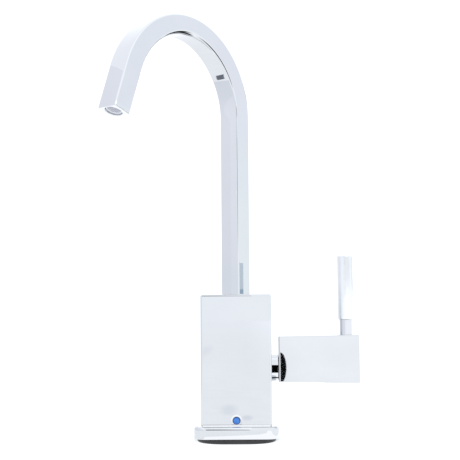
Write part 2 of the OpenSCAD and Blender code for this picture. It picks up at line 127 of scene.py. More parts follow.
def piece(name, grids, body, slot, material, *nodes):
    """Welds grids of points into one closed piece.

    Neighbours in a grid share a four-sided face, points that fall together are merged, and the faces
    of the closed skin are turned outwards. The piece then rides on its body in place of its nodes.
    """
    merge = 1e-7
    points, faces, count = [], [], 0
    for grid in grids:
        rows, columns = grid.shape[:2]
        faces.append(grid_faces(rows, columns, count))
        points.append(grid.reshape(-1, 3))
        count += rows * columns
    mesh = bpy.data.meshes.new(name)
    mesh.from_pydata(np.concatenate(points).tolist(), [], np.concatenate(faces).tolist())
    work = bmesh.new()
    work.from_mesh(mesh)
    bmesh.ops.remove_doubles(work, verts=work.verts, dist=merge)
    bmesh.ops.recalc_face_normals(work, faces=work.faces)
    work.to_mesh(mesh)
    work.free()
    mesh.polygons.foreach_set("use_smooth", np.ones(len(mesh.polygons), bool))
    mesh.materials.append(material)
    made = bpy.data.objects.new(name, mesh)
    bpy.context.scene.collection.objects.link(made)
    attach(made, body)
    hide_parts(*nodes)


def finish(name, metallic, low, high, rough_low, rough_high, grain, bump, drift=40.0):
    """A material whose colour drifts between two tones in soft patches, with a fine grain.

    The patches and the grain are noise in object coordinates, at the scales of drift and grain. The
    grain sets the roughness between its two ends and lifts the surface by the bump's height.
    """
    material = bpy.data.materials.new(name)
    material.use_nodes = True
    tree = material.node_tree
    shader = tree.nodes["Principled BSDF"]
    shader.inputs["Metallic"].default_value = metallic
    place = tree.nodes.new("ShaderNodeTexCoord")
    patches = tree.nodes.new("ShaderNodeTexNoise")
    patches.inputs["Scale"].default_value = drift
    patches.inputs["Detail"].default_value = 3
    tones = tree.nodes.new("ShaderNodeValToRGB")
    tones.color_ramp.elements[0].position = 0.35
    tones.color_ramp.elements[1].position = 0.65
    tones.color_ramp.elements[0].color = (*low, 1)
    tones.color_ramp.elements[1].color = (*high, 1)
    fine = tree.nodes.new("ShaderNodeTexNoise")
    fine.inputs["Scale"].default_value = grain
    fine.inputs["Detail"].default_value = 4
    spread = tree.nodes.new("ShaderNodeMapRange")
    spread.inputs["To Min"].default_value = rough_low
    spread.inputs["To Max"].default_value = rough_high
    lift = tree.nodes.new("ShaderNodeBump")
    lift.inputs["Distance"].default_value = bump
    link = tree.links.new
    link(place.outputs["Object"], patches.inputs["Vector"])
    link(place.outputs["Object"], fine.inputs["Vector"])
    link(patches.outputs["Fac"], tones.inputs["Fac"])
    link(tones.outputs["Color"], shader.inputs["Base Color"])
    link(fine.outputs["Fac"], spread.inputs["Value"])
    link(spread.outputs["Result"], shader.inputs["Roughness"])
    link(fine.outputs["Fac"], lift.inputs["Height"])
    link(lift.outputs["Normal"], shader.inputs["Normal"])
    return material


rubber = finish("black_rubber", metallic=0, low=(0.007, 0.007, 0.0075), high=(0.015, 0.0145, 0.0145),
                rough_low=0.42, rough_high=0.65, grain=900, bump=0.00004)
gasket_low, gasket_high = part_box("base_gasket")
gasket_half = gasket_high.x
gasket_corner_r = 16.0 * MM
gasket_lip_z = 3.18 * MM
gasket_step_r = 22.6 * MM
gasket_hole_r = 20.0 * MM
gasket_foot_r = 0.9 * MM
gasket_hole_edge_r = 0.5 * MM
gasket_edge_r = 0.3 * MM
square_margin = 0.5 * MM
gasket_section = outline([
    (gasket_hole_r, gasket_low.z, gasket_hole_edge_r),
    (gasket_half, gasket_low.z, gasket_foot_r),
    (gasket_half, gasket_lip_z, gasket_edge_r),
    (gasket_step_r, gasket_lip_z, CRISP_R),
    (gasket_step_r, gasket_high.z, gasket_edge_r),
    (gasket_hole_r, gasket_high.z, gasket_edge_r)])
gasket_skin = square_turned(gasket_section, gasket_half, gasket_corner_r, gasket_step_r + square_margin)
piece("gasket_ring", [gasket_skin], "base", "rubber", rubber, "base_gasket")

# Base plate: a square plate of chromed brass with round corners and a softened top edge.
# The body stands on it, the insert comes down through its middle, and a groove below takes the gasket.
chrome = finish("bright_chrome", metallic=1, low=(0.612, 0.626, 0.648), high=(0.628, 0.641, 0.662),
                rough_low=0.012, rough_high=0.028, grain=260, bump=0.0000002)
plate_low, plate_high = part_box("base_flange")
plate_half = plate_high.x
plate_corner_r = 8.0 * MM
plate_edge_r = 2.2 * MM
plate_foot_r = 0.3 * MM
plate_bore_r = 17.1 * MM
groove_gap = 0.05 * MM
groove_z = gasket_high.z + groove_gap
groove_r = gasket_step_r + groove_gap
groove_hole_r = gasket_hole_r - groove_gap
plate_section = outline([
    (plate_half, plate_low.z, plate_foot_r),
    (plate_half, plate_high.z, plate_edge_r),
    (plate_bore_r, plate_high.z, CRISP_R),
    (plate_bore_r, plate_low.z, CRISP_R),
    (groove_hole_r, plate_low.z, CRISP_R),
    (groove_hole_r, groove_z, CRISP_R),
    (groove_r, groove_z, CRISP_R),
    (groove_r, plate_low.z, CRISP_R)], steps=9)
plate_skin = square_turned(plate_section, plate_half, plate_corner_r, groove_r + square_margin)
piece("base_plate", [plate_skin], "base", "chrome", chrome, "base_flange")

# Insert: the turned brass plug that the hose and the fixing stud screw into from below.
# It is held in the body by a set screw and sealed by a ring round the water way on its top.
brass = finish("bare_brass", metallic=1, low=(0.60, 0.42, 0.17), high=(0.72, 0.53, 0.25),
               rough_low=0.22, rough_high=0.36, grain=700, bump=0.000004)
steel = finish("plain_steel", metallic=1, low=(0.42, 0.43, 0.45), high=(0.55, 0.56, 0.58),
               rough_low=0.24, rough_high=0.4, grain=1200, bump=0.000003)


def dress(material, *names):
    """Gives construction nodes that show as they are their finish."""
    for name in names:
        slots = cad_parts[name].data.materials
        slots.clear()
        slots.append(material)


dress(brass, "base_insert")
dress(rubber, "inlet_o_ring")
dress(steel, "body_screw")

# Body: a square block of chromed brass with softened edges, cast and polished.
# It holds the valve at its side, the spout in its top, a screw for the spout in its back, and the
# indicator in a shallow dish low on its front.
FACES = {"x": ((1, 2, 0), 1), "-x": ((2, 1, 0), -1), "y": ((2, 0, 1), 1), "-y": ((0, 2, 1), -1),
         "z": ((0, 1, 2), 1), "-z": ((1, 0, 2), -1)}


def soft_block(low, high, radius, holes, cells=20, bend_steps=6):
    """Block with all its edges round, and a round hole in any of its faces.

    Each face is a grid on the outer box, and FACES gives the axes of its two sides, the axis it is
    square to and which way it looks. A point moves to its nearest point in the block shrunk by the
    radius, and from there out by the radius, so borders become quarter rounds. A face with a hole
    leaves its flat out, and rings carry that flat's border to the rim, down the wall and to the middle
    of the floor. A hole is its centre along the two sides and a profile, which turns the distance to
    the flat's border in each direction into the rings' radii and depths.
    """
    low, high = np.array(low), np.array(high)
    guard = 0.00015
    grids = []
    bend = radius * np.tan(np.linspace(0, np.pi / 4, bend_steps))[1:]
    for face, (order, sign) in FACES.items():
        first, second, third = order
        lines = []
        for axis in (first, second):
            a, b = low[axis] + radius, high[axis] - radius
            flat = np.concatenate([[a], np.linspace(a + guard, b - guard, cells), [b]])
            lines.append((a - bend[::-1], flat, b + bend))
        parts = [[0, 1], [1, 2], [2, 3]]
        full = [np.concatenate(line) for line in lines]
        edges = [0, len(bend), len(full[0]) - len(bend) - 1, len(full[0]) - 1]
        outer = high[third] if sign > 0 else low[third]
        for i0, i1 in parts:
            for j0, j1 in parts:
                if (i0, j0) == (1, 1) and face in holes:
                    continue
                u = full[0][edges[i0]:edges[i1] + 1]
                v = full[1][edges[j0]:edges[j1] + 1]
                grid = np.empty((len(u), len(v), 3))
                grid[..., first], grid[..., second], grid[..., third] = u[:, None], v[None, :], outer
                core = np.clip(grid, low + radius, high - radius)
                out = grid - core
                grids.append(core + radius * out / np.linalg.norm(out, axis=-1, keepdims=True))
        if face in holes:
            middle, profile = holes[face]
            u, v = lines[0][1], lines[1][1]
            border = np.concatenate([
                np.stack([u[:-1], np.full(len(u) - 1, v[0])], 1),
                np.stack([np.full(len(v) - 1, u[-1]), v[:-1]], 1),
                np.stack([u[:0:-1], np.full(len(u) - 1, v[-1])], 1),
                np.stack([np.full(len(v) - 1, u[0]), v[:0:-1]], 1)])
            border = closed(border)
            middle = np.array(middle)
            inner = np.clip(border, border.min(0) + guard, border.max(0) - guard)
            reach = np.linalg.norm(border - middle, axis=1)
            away = (border - middle) / reach[:, None]
            radii, sink = profile(reach)
            rings = np.concatenate([[border, inner], middle + away * radii[..., None]])
            grid = np.empty((*rings.shape[:2], 3))
            grid[..., first], grid[..., second] = rings[..., 0], rings[..., 1]
            grid[..., third] = outer
            grid[2:, :, third] -= sign * sink
            grids.append(grid)
    return grids


def drilled(radius, depth, rim=0.2 * MM):
    """Profile of a blind hole with a quarter-round rim, from its lip down to the middle of its floor."""
    curve = np.linspace(0, np.pi / 2, 6)
    radii = np.concatenate([[radius + 1.5 * rim], radius + rim - rim * np.sin(curve),
                            [radius, radius, radius - 0.5 * rim, 0]])
    sink = np.concatenate([[0], rim - rim * np.cos(curve), [1.5 * rim, depth, depth, depth]])
    return lambda reach: (radii[:, None] + 0 * reach, sink[:, None] + 0 * reach)


def dished(radius, depth, dish_r, dish_depth, guard=0.1 * MM):
    """Profile of a blind hole in a shallow dish, whose fall follows a cosine wave.

    Where the flat's border is nearer than the dish's edge, the dish is narrower and shallower.
    """
    def profile(reach):
        hole = np.minimum(radius, reach - 2 * guard)
        edge = np.clip(dish_r, hole + guard / 2, reach - guard)
        share = np.linspace(0, 1, 15)[:, None]
        fall = dish_depth * np.clip((edge - hole) / (dish_r - radius), 0, 1)
        dish = edge + (hole - edge) * share
        dish_sink = fall * (1 - np.cos(np.pi * share)) / 2
        lip = edge + guard / 2
        radii = np.concatenate([[lip], dish, [hole, hole, hole - guard, 0 * hole]])
        sink = np.concatenate([[0 * hole], dish_sink, [fall + guard, depth + 0 * hole, depth + 0 * hole,
                                                       depth + 0 * hole]])
        return radii, sink
    return profile


body_low, body_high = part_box("body")
plug_low, plug_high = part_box("indicator_plug")
plug_r = (plug_high.x - plug_low.x) / 2
plug_z = (plug_low.z + plug_high.z) / 2
plug_gap = 0.05 * MM
plug_hole_r = plug_r + plug_gap
plug_hole_depth = 2 * MM
plug_dish_r = 3.8 * MM
plug_dish_depth = 0.35 * MM
glide_low, glide_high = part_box("glide_ring")
keeper_low, keeper_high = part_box("spout_screw")
keeper_hole_r = 2.0 * MM
past_keeper = 1.8 * MM
keeper_hole_depth = body_high.y - keeper_high.y + past_keeper
keeper_z = (keeper_low.z + keeper_high.z) / 2
glide_gap = 0.1 * MM
glide_seat_r = glide_high.x + glide_gap
body_edge_r = 1.2 * MM
body_holes = {
    "z": ((0, 0), drilled(glide_seat_r, glide_high.z - glide_low.z)),
    "y": ((keeper_z, 0), drilled(keeper_hole_r, keeper_hole_depth)),
    "-y": ((0, plug_z), dished(plug_hole_r, plug_hole_depth, plug_dish_r, plug_dish_depth))}
body_grids = soft_block(body_low, body_high, body_edge_r, body_holes, cells=90)
piece("body_shell", body_grids, "base", "chrome", chrome, "body")
dress(steel, "spout_screw")

# Glide ring: a white acetal washer let into the body's top, which the spout turns on.
# It is moulded with a slightly crowned top, and only that and its rim show round the foot of the spout.
TURN_STEPS = 128


def turned(shape, centre, axis="Z"):
    """Surface of revolution: each (radius, height) pair goes once round the axis through the centre."""
    angle = np.linspace(0, 2 * np.pi, TURN_STEPS + 1)[:, None]
    across = shape[None, :, 0] * np.cos(angle)
    beside = shape[None, :, 0] * np.sin(angle)
    height = np.broadcast_to(shape[None, :, 1], across.shape)
    order = {"Z": (across, beside, height), "X": (height, across, beside), "-Y": (across, -height, beside)}
    return np.stack(order[axis], -1) + np.array(centre)


acetal = finish("white_acetal", metallic=0, low=(0.62, 0.63, 0.64), high=(0.70, 0.705, 0.71),
                rough_low=0.35, rough_high=0.5, grain=1500, bump=0.000006)
glide_r = glide_high.x
glide_bore_r = 8.5 * MM
glide_crown = 0.22 * MM
glide_share = np.linspace(0, 1, 15)
glide_top = np.stack([glide_r + (glide_bore_r - glide_r) * glide_share,
                      glide_high.z + glide_crown * np.sin(np.pi * glide_share)], 1)
glide_section = np.concatenate([[[glide_bore_r, glide_low.z], [glide_r, glide_low.z]], glide_top])
glide_skin = turned(closed(glide_section), (0, 0, 0))
piece("glide_washer", [glide_skin], "base", "acetal", acetal, "glide_ring")

# Indicator plug: a small blue button low on the front that marks filtered water.
# It is moulded in glossy plastic with a raised rim round a hollow face, and pressed over the set screw.
AXIS_R = 0.02 * MM
AXIS_EDGE_R = 0.005 * MM


def ramp(tree, value, stops):
    """Colour that follows a number, as (number, colour) stops in rising order."""
    first, last = stops[0][0], stops[-1][0]
    spread = tree.nodes.new("ShaderNodeMapRange")
    spread.inputs["From Min"].default_value = first
    spread.inputs["From Max"].default_value = last
    tree.links.new(value, spread.inputs["Value"])
    scale = tree.nodes.new("ShaderNodeValToRGB")
    marks = scale.color_ramp.elements
    while len(marks) < len(stops):
        marks.new(0.5)
    for mark, (number, colour) in zip(marks, stops):
        mark.position = (number - first) / (last - first)
        mark.color = (*colour, 1)
    tree.links.new(spread.outputs["Result"], scale.inputs["Fac"])
    return scale.outputs["Color"]


def times(tree, one, other):
    """Product of two colours."""
    mix = tree.nodes.new("ShaderNodeMix")
    mix.data_type = "RGBA"
    mix.blend_type = "MULTIPLY"
    mix.inputs["Factor"].default_value = 1
    tree.links.new(one, mix.inputs["A"])
    tree.links.new(other, mix.inputs["B"])
    return mix.outputs["Result"]


def grey(tone):
    """A colour without hue."""
    return (tone, tone, tone)


def patch(tree, place, centre, half, stops):
    """Colour that follows the distance from a centre, where one is reached at the three half sizes."""
    away = tree.nodes.new("ShaderNodeVectorMath")
    away.operation = "SUBTRACT"
    away.inputs[1].default_value = centre
    share = tree.nodes.new("ShaderNodeVectorMath")
    share.operation = "DIVIDE"
    share.inputs[1].default_value = half
    reach = tree.nodes.new("ShaderNodeVectorMath")
    reach.operation = "LENGTH"
    tree.links.new(place, away.inputs[0])
    tree.links.new(away.outputs[0], share.inputs[0])
    tree.links.new(share.outputs[0], reach.inputs[0])
    return ramp(tree, reach.outputs["Value"], stops)


blue_plastic = finish("blue_plastic", metallic=0, low=(0.024, 0.152, 0.535), high=(0.042, 0.21, 0.63),
                      rough_low=0.12, rough_high=0.22, grain=1500, bump=0.000008, drift=500.0)
blue_tree = blue_plastic.node_tree
blue_shader = blue_tree.nodes["Principled BSDF"]
blue_tone = blue_shader.inputs["Base Color"].links[0].from_socket
blue_place = blue_tree.nodes.new("ShaderNodeTexCoord").outputs["Object"]
# Painted shade: the button's blue darkens towards its rim.
blue_reach = 10.0
blue_rim_painted_shade = patch(blue_tree, blue_place, (0, 0, plug_z), (plug_r, blue_reach, plug_r),
                 [(0, grey(1)), (0.68, grey(1)), (0.84, grey(0.42)), (1, grey(0.3))])
blue_tree.links.new(times(blue_tree, blue_tone, blue_rim_painted_shade), blue_shader.inputs["Base Color"])
plug_back = -plug_high.y
plug_front = -plug_low.y
plug_hollow = 0.22 * MM
plug_face = plug_front - plug_hollow
plug_edge_r = 0.35 * MM
plug_lip_r = 0.2 * MM
plug_dip_r = 0.3 * MM
rim_share = 0.74
face_share = 0.58
plug_section = outline([
    (AXIS_R, plug_back, AXIS_EDGE_R), (plug_r, plug_back, CRISP_R), (plug_r, plug_front, plug_edge_r),
    (rim_share * plug_r, plug_front, plug_lip_r), (face_share * plug_r, plug_face, plug_dip_r),
    (AXIS_R, plug_face, AXIS_EDGE_R)])
plug_skin = turned(closed(plug_section), (0, 0, plug_z), "-Y")
piece("indicator_button", [plug_skin], "base", "blue_plastic", blue_plastic, "indicator_plug")

# Valve: a quarter-turn cartridge in the side of the body, with a brass housing and spindle,
# two lapped ceramic discs and their rubber seals. A steel clip keeps the spindle in the housing.
ceramic = finish("lapped_ceramic", metallic=0, low=(0.76, 0.74, 0.68), high=(0.84, 0.82, 0.77),
                 rough_low=0.14, rough_high=0.22, grain=800, bump=0.000003)
dress(brass, "cartridge_body", "spindle")
dress(rubber, "cartridge_o_ring", "seat_seal", "spindle_o_ring")
dress(ceramic, "fixed_disc", "moving_disc")
dress(steel, "spindle_clip")

# Collar: a short turned ring of chromed brass between the body and the handle.
# It is pushed over the nose of the cartridge and hides it.
collar_low, collar_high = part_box("collar")
collar_r = (collar_high.z - collar_low.z) / 2
collar_axis_z = (collar_high.z + collar_low.z) / 2
collar_bore_r = 7.1 * MM
collar_more = 0.18 * MM
collar_end = collar_high.x + collar_more
collar_edge_r = 0.15 * MM
collar_section = outline([
    (collar_bore_r, collar_low.x, CRISP_R), (collar_r, collar_low.x, collar_edge_r),
    (collar_r, collar_end, collar_edge_r), (collar_bore_r, collar_end, CRISP_R)])
collar_skin = turned(closed(collar_section), (0, 0, collar_axis_z), "X")
piece("valve_collar", [collar_skin], "base", "chrome", chrome, "collar")

# Handle block: a solid rectangular block of chromed brass, a little taller at its free end.
# It is clamped on the square end of the spindle by a set screw from behind.
block_low, block_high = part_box("handle_block")
clamp_low, clamp_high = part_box("handle_screw")
block_root_h = 29.6 * MM
block_end_h = block_high.z - block_low.z
block_edge_r = 0.8 * MM
clamp_hole_r = 2.0 * MM
past_clamp = 2 * MM
clamp_hole_depth = block_high.y - clamp_high.y + past_clamp
clamp_x = (clamp_low.x + clamp_high.x) / 2
clamp_z = (clamp_low.z + clamp_high.z) / 2
block_mid_z = (block_low.z + block_high.z) / 2
block_holes = {"y": ((clamp_z, clamp_x), drilled(clamp_hole_r, clamp_hole_depth))}
block_grids = soft_block(block_low, block_high, block_edge_r, block_holes)
for grid in block_grids:
    along = (grid[..., 0] - block_low.x) / (block_high.x - block_low.x)
    taper = (block_root_h + (block_end_h - block_root_h) * along) / block_end_h
    grid[..., 2] = block_mid_z + (grid[..., 2] - block_mid_z) * taper
piece("lever_block", block_grids, "handle", "chrome", chrome, "handle_block")
dress(steel, "handle_screw")

# Lever: a turned pin of chromed brass with a thinner neck, screwed into the top of the block.
# Its grip has a satin finish, a round shoulder below and a crisp top edge, and the neck is polished.
lever_low, lever_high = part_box("lever")
grip_r = (lever_high.x - lever_low.x) / 2
lever_x = (lever_high.x + lever_low.x) / 2
neck_r = 4.2 * MM
neck_sink = 1.2 * MM
neck_foot = block_high.z - neck_sink
neck_rough = 0.03
neck_tone = (0.82, 0.82, 0.84)
grip_z = 76.7 * MM
grip_shoulder_r = 0.75 * MM
grip_top_r = 0.5 * MM
grip_rough = 0.36
satin_fade = 0.8 * MM
satin_z = grip_z + satin_fade
grip_section = outline([
    (AXIS_R, neck_foot, AXIS_EDGE_R), (neck_r, neck_foot, CRISP_R), (neck_r, grip_z, CRISP_R),
    (grip_r, grip_z, grip_shoulder_r), (grip_r, lever_high.z, grip_top_r),
    (AXIS_R, lever_high.z, AXIS_EDGE_R)])
# Painted light: the grip's colour is lighter than the polished chrome's, and the neck's tone brings the
# neck back to the chrome's colour.
satin_chrome = finish("satin_chrome", metallic=1, low=(0.745, 0.76, 0.775), high=(0.765, 0.775, 0.79),
                      rough_low=neck_rough, rough_high=0.05, grain=900, bump=0.000001)
satin_tree = satin_chrome.node_tree
satin_place = satin_tree.nodes.new("ShaderNodeTexCoord")
satin_height = satin_tree.nodes.new("ShaderNodeSeparateXYZ")
satin_zone = satin_tree.nodes.new("ShaderNodeMapRange")
satin_zone.inputs["From Min"].default_value = grip_z
satin_zone.inputs["From Max"].default_value = satin_z
satin_zone.inputs["To Min"].default_value = neck_rough
satin_zone.inputs["To Max"].default_value = grip_rough
satin_tree.links.new(satin_place.outputs["Object"], satin_height.inputs[0])
satin_tree.links.new(satin_height.outputs["Z"], satin_zone.inputs["Value"])
satin_shader = satin_tree.nodes["Principled BSDF"]
satin_tree.links.new(satin_zone.outputs["Result"], satin_shader.inputs["Roughness"])
satin_tone = satin_shader.inputs["Base Color"].links[0].from_socket
satin_neck = ramp(satin_tree, satin_height.outputs["Z"], [(grip_z, neck_tone), (satin_z, grey(1))])
satin_tree.links.new(times(satin_tree, satin_tone, satin_neck), satin_shader.inputs["Base Color"])
lever_skin = turned(closed(grip_section), (lever_x, 0, 0))
piece("lever_pin", [lever_skin], "handle", "chrome", satin_chrome, "lever")

# Spout: a chromed tube of rectangular section that rises from the body and bends over to the outlet.
# The straight end is brazed on and polished flush, and bored round for the outlet pieces. Bending has
# pressed the tube's inner edges rounder at the top.
spout_low, spout_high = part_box("spout_tube")
spout_foot = spout_low.z
swing = math.radians(38.7)
ahead = np.array([-math.sin(swing), -math.cos(swing), 0])
aside = np.array([math.cos(swing), -math.sin(swing), 0])
upward = np.array([0, 0, 1.0])
tube_t = 12.4 * MM
tube_w = 14.8 * MM
tube_wall = 1.2 * MM
tube_edge_r = 1.1 * MM
fold_edge_r = 3.2 * MM
fold_spread = math.radians(30)
bend_r = 51.8 * MM
bend_sweep = math.radians(160.6)
bend_z = spout_high.z - bend_r - tube_t / 2
tail_len = 29.3 * MM
end_r = 0.45 * MM
outlet_r = 5.1 * MM
outlet_rim = 0.35 * MM
outlet_depth = 10.5 * MM
washer_hole_r = 3.5 * MM
shoulder_depth = 12.5 * MM
riser_len = bend_z - spout_foot
bend_len = bend_r * bend_sweep
spout_len = riser_len + bend_len + tail_len


def spout_line(distance):
    """Middle line of the spout: up the riser, round the bend and straight out along the tail.

    Gives the points and the directions away from the bend's centre at distances from the foot.
    """
    turn = np.clip((distance - riser_len) / bend_r, 0, bend_sweep)[:, None]
    outward = upward * np.sin(turn) - ahead * np.cos(turn)
    forward = upward * np.cos(turn) + ahead * np.sin(turn)
    spare = distance - riser_len - turn[:, 0] * bend_r
    points = ahead * bend_r + upward * bend_z + outward * bend_r + forward * spare[:, None]
    return points, outward


def spout_rows(rings, distances):
    """Carries one ring per distance along the spout's middle line, square to it."""
    points, outward = spout_line(np.asarray(distances))
    rings = np.stack([closed(ring) for ring in rings])
    return points[:, None] + outward[:, None] * rings[..., :1] + aside * rings[..., 1:]


def tube_ring(inset):
    """The tube's outer section, drawn in evenly by an inset."""
    return rounded_ring(tube_t / 2 - inset, tube_w / 2 - inset, tube_edge_r - inset)


def bent_ring(distance, inset, least_r):
    """The tube's section at a distance from the foot, drawn in by an inset, with edges of a least radius.

    The radius of the inner edges grows from the tube's to the fold's at the top of the bend, and dies
    away on both sides as a bell curve of the angle from there.
    """
    turn = np.clip((distance - riser_len) / bend_r, 0, bend_sweep)
    bell = math.exp(-((turn - math.pi / 2) / fold_spread) ** 2)
    inner_r = max(tube_edge_r + (fold_edge_r - tube_edge_r) * bell - inset, least_r)
    outer_r = max(tube_edge_r - inset, least_r)
    return rounded_ring(tube_t / 2 - inset, tube_w / 2 - inset, outer_r, inner_r)


skin_ring = tube_ring(0)
water_edge_r = 0.25 * MM
riser_rows, bend_rows, tail_rows = 24, 121, 10
run = np.concatenate([[0.0], np.linspace(CRISP_R, riser_len, riser_rows),
                      riser_len + np.linspace(0, bend_len, bend_rows)[1:],
                      riser_len + bend_len + np.linspace(0, tail_len - end_r, tail_rows)[1:]])
roll = np.linspace(0, np.pi / 2, 7)
rings = [bent_ring(distance, 0, tube_edge_r) for distance in run]
places = list(run)
rings += [tube_ring(end_r * (1 - math.cos(a))) for a in roll[1:]]
places += list(spout_len - end_r + end_r * np.sin(roll[1:]))
rings += [tube_ring(end_r + CRISP_R)]
places += [spout_len]
rim = [(outlet_r + outlet_rim + CRISP_R, 0)]
rim += [(outlet_r + outlet_rim * (1 - math.sin(a)), outlet_rim * (1 - math.cos(a))) for a in roll]
rim += [(outlet_r, outlet_rim + CRISP_R), (outlet_r, outlet_depth - CRISP_R), (outlet_r, outlet_depth),
        (washer_hole_r, outlet_depth), (washer_hole_r, shoulder_depth)]
rings += [round_ring(skin_ring, r) for r, _ in rim]
places += [spout_len - depth for _, depth in rim]
water_end = spout_len - shoulder_depth
back = [water_end, *run[run < water_end][::-1]]
rings += [bent_ring(distance, tube_wall, water_edge_r) for distance in back]
places += back
rings += [skin_ring]
places += [0.0]
piece("spout_arch", [spout_rows(rings, places)], "spout", "chrome", chrome, "spout_tube", "spout_nozzle")

# Spout foot: a brass spigot, brazed into the tube and chromed with it, turns in the body's socket on two
# rubber rings. A groove in it takes the point of the set screw from the back of the body.
dress(chrome, "spout_spigot")
dress(rubber, "spout_o_ring_upper", "spout_o_ring_lower")

# Outlet: an acetal housing with a flow straightener is pushed into the spout's end.
# A rubber washer behind it seals it against the shoulder of the bore.
mouth_r = 4.1 * MM
housing_r = 5.0 * MM
housing_front = 1.0 * MM
housing_depth = 9.0 * MM
housing_edge_r = 0.15 * MM
mouth_edge_r = 0.3 * MM
mouth_section = closed(outline([
    (mouth_r, -housing_depth, CRISP_R), (housing_r, -housing_depth, CRISP_R),
    (housing_r, -housing_front, housing_edge_r), (mouth_r, -housing_front, mouth_edge_r)]))
mouth_turn = np.linspace(0, 2 * np.pi, TURN_STEPS + 1)[:-1]
mouth_circle = np.stack([np.cos(mouth_turn), np.sin(mouth_turn)], 1)
mouth_rows = spout_rows([mouth_circle * r for r, _ in mouth_section], spout_len + mouth_section[:, 1])
# Painted light: the housing and the straightener take a lighter, bluer copy of the white acetal, which
# lifts the shade inside the bore.
acetal_with_painted_light = finish("acetal_with_painted_light", metallic=0, low=(0.69, 0.70, 0.745), high=(0.74, 0.75, 0.79),
                       rough_low=0.3, rough_high=0.45, grain=1500, bump=0.000004)
piece("outlet_ring", [mouth_rows], "spout", "acetal", acetal_with_painted_light, "outlet_housing")
dress(acetal_with_painted_light, "flow_straightener")
dress(rubber, "outlet_washer")

# Floor: a pale light table that the tap stands on, lit from within and a little brighter on the right and
# far away. Its glow has soft dark patches that show only in the chrome, and a painted shadow round the
# gasket.
floor_half = 4.0
floor_mesh = bpy.data.meshes.new("floor")
floor_mesh.from_pydata([(-floor_half, -floor_half, 0), (floor_half, -floor_half, 0),
                        (floor_half, floor_half, 0), (-floor_half, floor_half, 0)], [], [(0, 1, 2, 3)])
floor = bpy.data.objects.new("floor", floor_mesh)
bpy.context.scene.collection.objects.link(floor)
floor_paint = finish("pale_floor", metallic=0, low=grey(0.19), high=grey(0.21),
                     rough_low=0.5, rough_high=0.6, grain=200, bump=0.0)
floor_tree = floor_paint.node_tree
floor_shader = floor_tree.nodes["Principled BSDF"]
floor_shader.inputs["Specular IOR Level"].default_value = 0
floor_shader.inputs["Emission Strength"].default_value = 1
floor_place = floor_tree.nodes.new("ShaderNodeTexCoord")
floor_parts = floor_tree.nodes.new("ShaderNodeSeparateXYZ")
floor_tree.links.new(floor_place.outputs["Object"], floor_parts.inputs[0])
floor_distance = floor_tree.nodes.new("ShaderNodeVectorMath")
floor_distance.operation = "LENGTH"
floor_tree.links.new(floor_place.outputs["Object"], floor_distance.inputs[0])
near_tone = (0.975, 0.995, 1.025)
far_tone = (1.0, 1.03, 1.065)
right_tone = grey(1.085)
far_glow = ramp(floor_tree, floor_distance.outputs["Value"],
                [(0, near_tone), (0.9, near_tone), (2.5, far_tone)])
side_glow = ramp(floor_tree, floor_parts.outputs["X"],
                 [(0, grey(1)), (0.02, grey(1)), (0.11, right_tone), (0.2, right_tone)])
floor_glow = times(floor_tree, far_glow, side_glow)
# Dark patches in the glow: the first three show only as dark reflections in the chrome, the last is a
# painted shadow round the gasket.
floor_dark_patches = [
    dict(centre=(-0.0076, -0.213, 0), half=(0.009, 0.05, 1), tone=(0.86, 0.88, 0.90), fade_from=0.3),
    dict(centre=(0.007, -0.158, 0), half=(0.006, 0.022, 1), tone=(0.80, 0.82, 0.85), fade_from=0.3),
    dict(centre=(-0.066, -1.19, 0), half=(0.016, 0.3, 1), tone=(0.92, 0.93, 0.94), fade_from=0.3),
    dict(centre=(0, 0, 0), half=(0.031, 0.0295, 1), tone=(0.68, 0.72, 0.71), fade_from=0.86)]
for mark in floor_dark_patches:
    floor_dark_patch = patch(floor_tree, floor_place.outputs["Object"], mark["centre"], mark["half"],
                       [(0, mark["tone"]), (mark["fade_from"], mark["tone"]), (1, grey(1))])
    floor_glow = times(floor_tree, floor_glow, floor_dark_patch)
floor_tree.links.new(floor_glow, floor_shader.inputs["Emission Color"])
floor_mesh.materials.append(floor_paint)

# Room: even, bright walls all round under a brighter ceiling.
# The left side and a low band of the walls are a little darker.
world = bpy.data.worlds.new("bright_room")
world.use_nodes = True
room = world.node_tree
sky = room.nodes["Background"]
direction = room.nodes.new("ShaderNodeTexCoord")
parts = room.nodes.new("ShaderNodeSeparateXYZ")
room.links.new(direction.outputs["Generated"], parts.inputs[0])
sides = ramp(room, parts.outputs["X"], [
    (-1, (0.875, 0.895, 0.955)), (-0.6, (0.90, 0.92, 0.97)), (-0.1, (1.02, 1.055, 1.09)),
    (0.5, (1.02, 1.05, 1.08)), (1, (0.97, 1.03, 1.055))])
heights = ramp(room, parts.outputs["Z"], [
    (-1, grey(1)), (0.1, grey(1)), (0.22, (0.955, 0.93, 0.975)), (0.45, (0.97, 0.96, 0.985)),
    (0.6, grey(1.13)), (1, grey(1.1))])
room.links.new(times(room, sides, heights), sky.inputs["Color"])
sky.inputs["Strength"].default_value = 1.25
bpy.context.scene.world = world
bpy.context.scene.view_settings.view_transform = "Standard"


# Light: one rectangular soft box in front of the tap, above the camera and to its right.
# Its face is even and looks straight to the back.
def soft_box(name, place, aim, width, height, radiance):
    """Rectangular soft light at a place, turned to its aim, with an even radiance over its face."""
    data = bpy.data.lights.new(name, "AREA")
    data.shape = "RECTANGLE"
    data.size = width
    data.size_y = height
    data.energy = radiance * width * height * math.pi
    lamp = bpy.data.objects.new(name, data)
    lamp.location = place
    lamp.rotation_euler = (Vector(aim) - Vector(place)).to_track_quat("-Z", "Y").to_euler()
    bpy.context.scene.collection.objects.link(lamp)


soft_box("front_box", place=(0.22, -0.85, 0.575), aim=(0.22, 0, 0.575),
         width=0.36, height=0.35, radiance=2.4)


